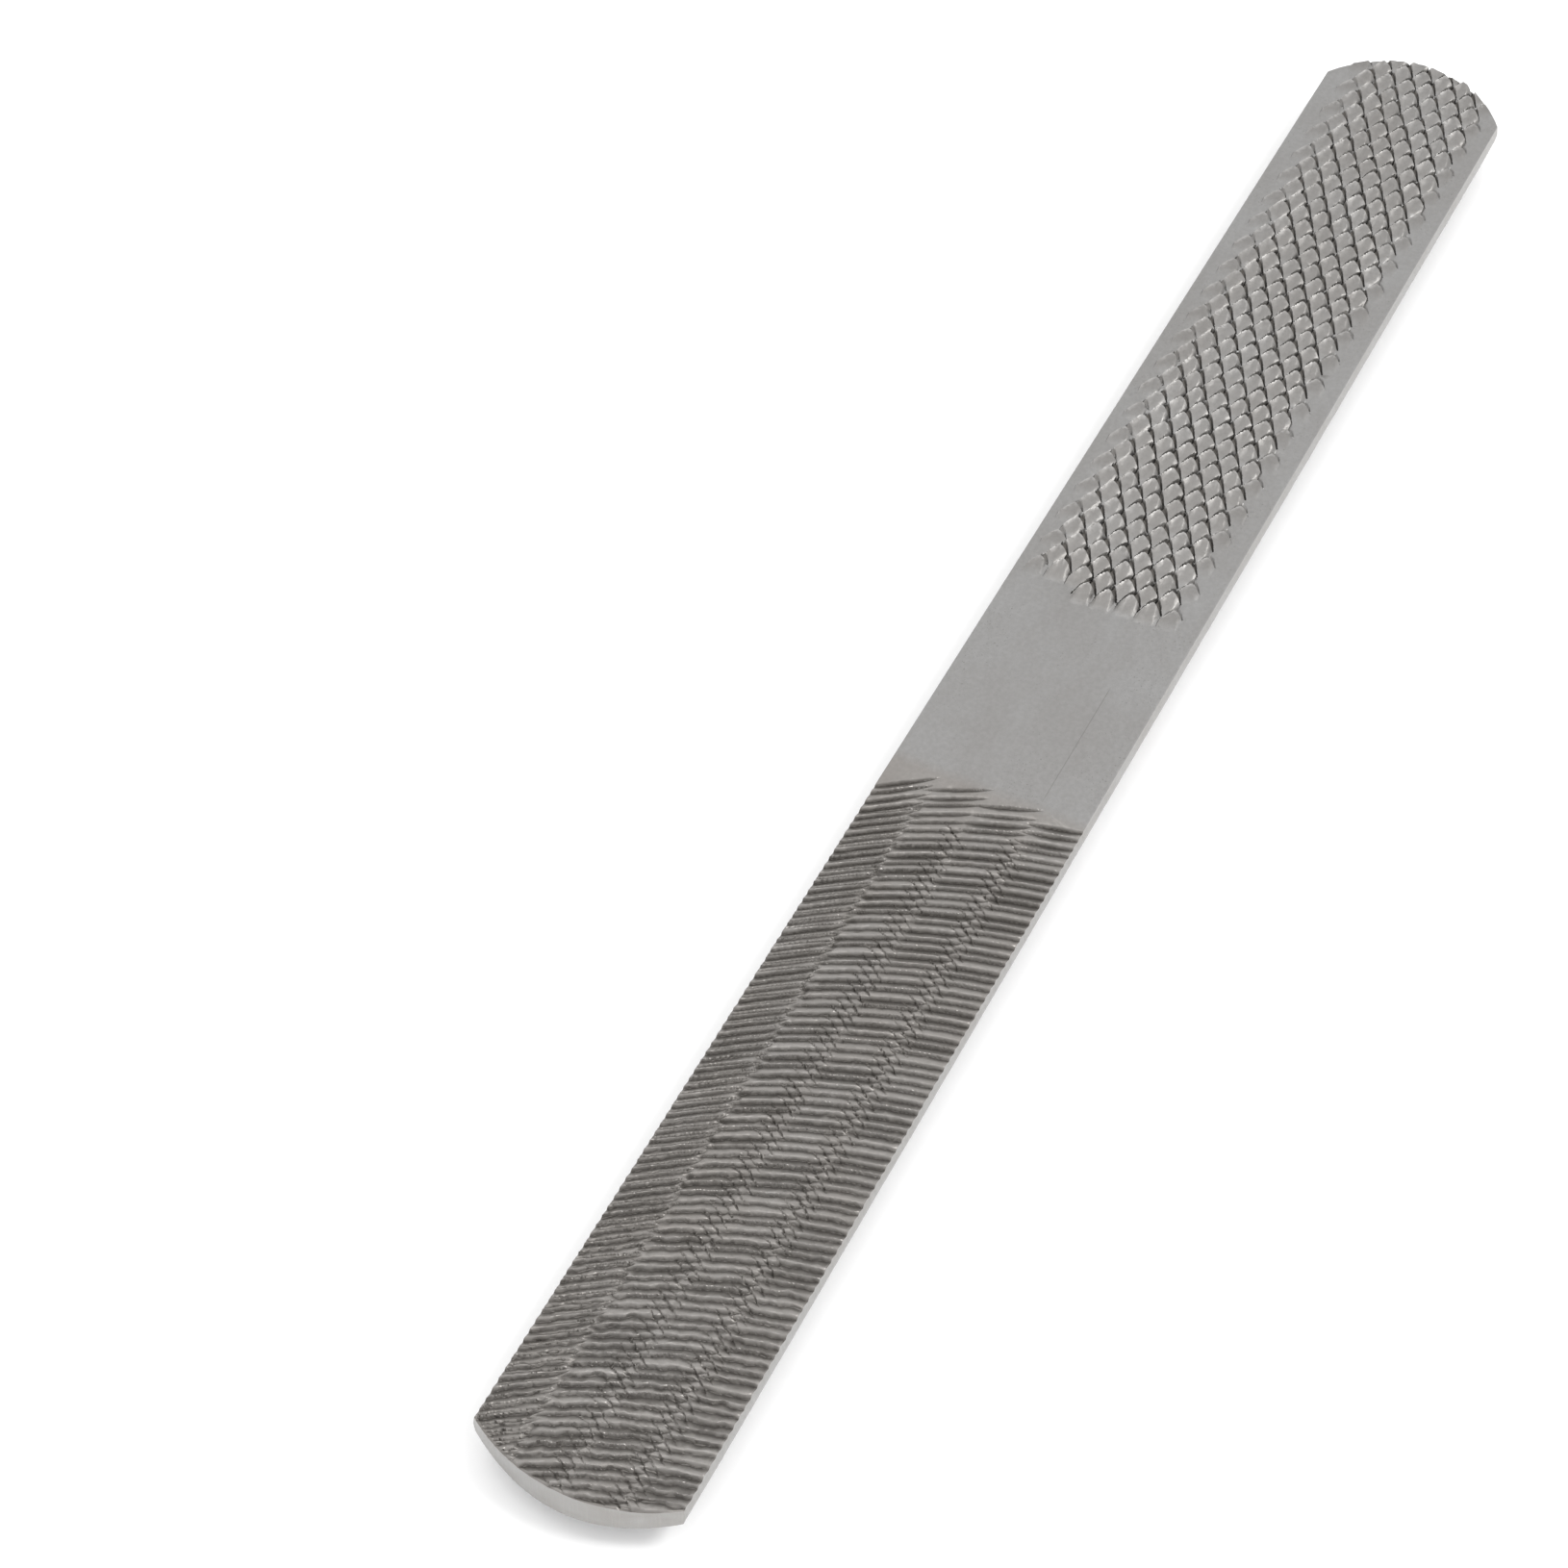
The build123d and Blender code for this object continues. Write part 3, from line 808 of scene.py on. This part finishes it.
def steel_edge(name, plain):
    """Ground steel of the side walls and the ends."""
    n = Nodes(name)
    mottle = n.noise((0.2, 0.2, 0.5), detail=5.0, warp=0.4)
    lines = n.noise((6.0, 6.0, 0.35), detail=3.0, rough=0.65)
    long_lines = n.noise((0.15, 6.0, 6.0), detail=3.0, rough=0.6)
    shaded = n.mix(1.0, plain, colour(0.85, 0.83, 0.81), "MULTIPLY")
    base = n.mix(n.spread(mottle, 0.35, 0.65), shaded, plain)
    light = n.mix(1.0, base, colour(1.2, 1.2, 1.2), "MULTIPLY")
    base = n.mix(n.spread(lines, 0.5, 0.75, 0.0, 0.5), base, light)
    n.link(base, n.shader.inputs["Base Color"])
    n.shader.inputs["Metallic"].default_value = 1.0
    n.link(n.spread(mottle, 0.3, 0.7, 0.33, 0.46), n.shader.inputs["Roughness"])
    height = n.math("ADD", n.math("MULTIPLY", lines, 0.5), n.math("MULTIPLY", long_lines, 0.5))
    n.link(n.bump(height, EDGE_BUMP), n.shader.inputs["Normal"])
    return n.material


def paper():
    n = Nodes("floor_paper")
    tint = n.mix(n.noise((0.01, 0.01, 0.01), detail=2.0), colour(0.94, 0.94, 0.94), colour(0.96, 0.96, 0.96))
    n.link(tint, n.shader.inputs["Base Color"])
    n.shader.inputs["Roughness"].default_value = 0.9
    return n.material


# ---------------------------------------------------------------- the rasp
def build_rasp():
    flat = steel_face("steel_flat_face", FLAT_TINTS, False)
    belly = steel_face("steel_belly", BELLY_TINTS, True)
    edge = steel_edge("steel_ground_edge", EDGE_TINT)
    points, quads, regions = bar_arrays()
    mesh = mesh_from_arrays("rasp_body", points, quads, regions)
    mesh = reduced(mesh, (flat, belly, edge))
    mesh.name = "rasp_body"
    finish_mesh(mesh)
    piece = bpy.data.objects.new("rasp_body", mesh)
    bpy.context.scene.collection.objects.link(piece)
    shading = piece.modifiers.new("weighted", "WEIGHTED_NORMAL")
    shading.keep_sharp = True
    shading.weight = 80
    return piece


rasp = build_rasp()
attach(rasp, "root")
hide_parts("rasp")


# ---------------------------------------------------------------- floor, lights and camera
def build_floor():
    shape = bmesh.new()
    bmesh.ops.create_grid(shape, x_segments=8, y_segments=8, size=3.0)
    mesh = bpy.data.meshes.new("floor")
    shape.to_mesh(mesh)
    shape.free()
    mesh.materials.append(paper())
    floor = bpy.data.objects.new("floor", mesh)
    floor.location = (0, 0, box_low.z - 0.0002)
    bpy.context.scene.collection.objects.link(floor)
    return floor


def area_light(name, place, target, size, power):
    data = bpy.data.lights.new(name, "AREA")
    data.shape = "DISK"
    data.size = size
    data.energy = power
    lamp = bpy.data.objects.new(name, data)
    lamp.location = place
    lamp.rotation_euler = (Vector(target) - Vector(place)).to_track_quat("-Z", "Y").to_euler()
    bpy.context.scene.collection.objects.link(lamp)


LENS = 98.76                           # millimetres, on a sensor 36 mm wide
CAMERA_PLACE = Vector((-0.25724, -0.09307, 0.31610))
CAMERA_TARGET = Vector((-0.021243, 0.018547, 0.003))
CAMERA_ROLL = math.radians(1.5)


def build_camera():
    data = bpy.data.cameras.new("camera")
    data.sensor_width = 36.0
    data.lens = LENS
    data.clip_start = 0.01
    data.clip_end = 20.0
    camera = bpy.data.objects.new("camera", data)
    turn = (CAMERA_TARGET - CAMERA_PLACE).to_track_quat("-Z", "Y").to_matrix().to_4x4()
    roll = Matrix.Rotation(CAMERA_ROLL, 4, "Z")
    camera.matrix_world = Matrix.Translation(CAMERA_PLACE) @ turn @ roll
    bpy.context.scene.collection.objects.link(camera)
    bpy.context.scene.camera = camera


def build_world():
    world = bpy.data.worlds.new("studio")
    world.use_nodes = True
    back = world.node_tree.nodes["Background"]
    back.inputs["Color"].default_value = (1.0, 1.0, 1.0, 1.0)
    back.inputs["Strength"].default_value = 1.25
    bpy.context.scene.world = world


build_floor()
area_light("top", (-0.05, 0.25, 0.80), (0, 0, 0), 0.5, 0.5)
area_light("side", (0.05, -0.42, 0.70), (0, 0, 0), 0.25, 2.5)
build_world()
build_camera()
bpy.context.scene.view_settings.view_transform = "Standard"
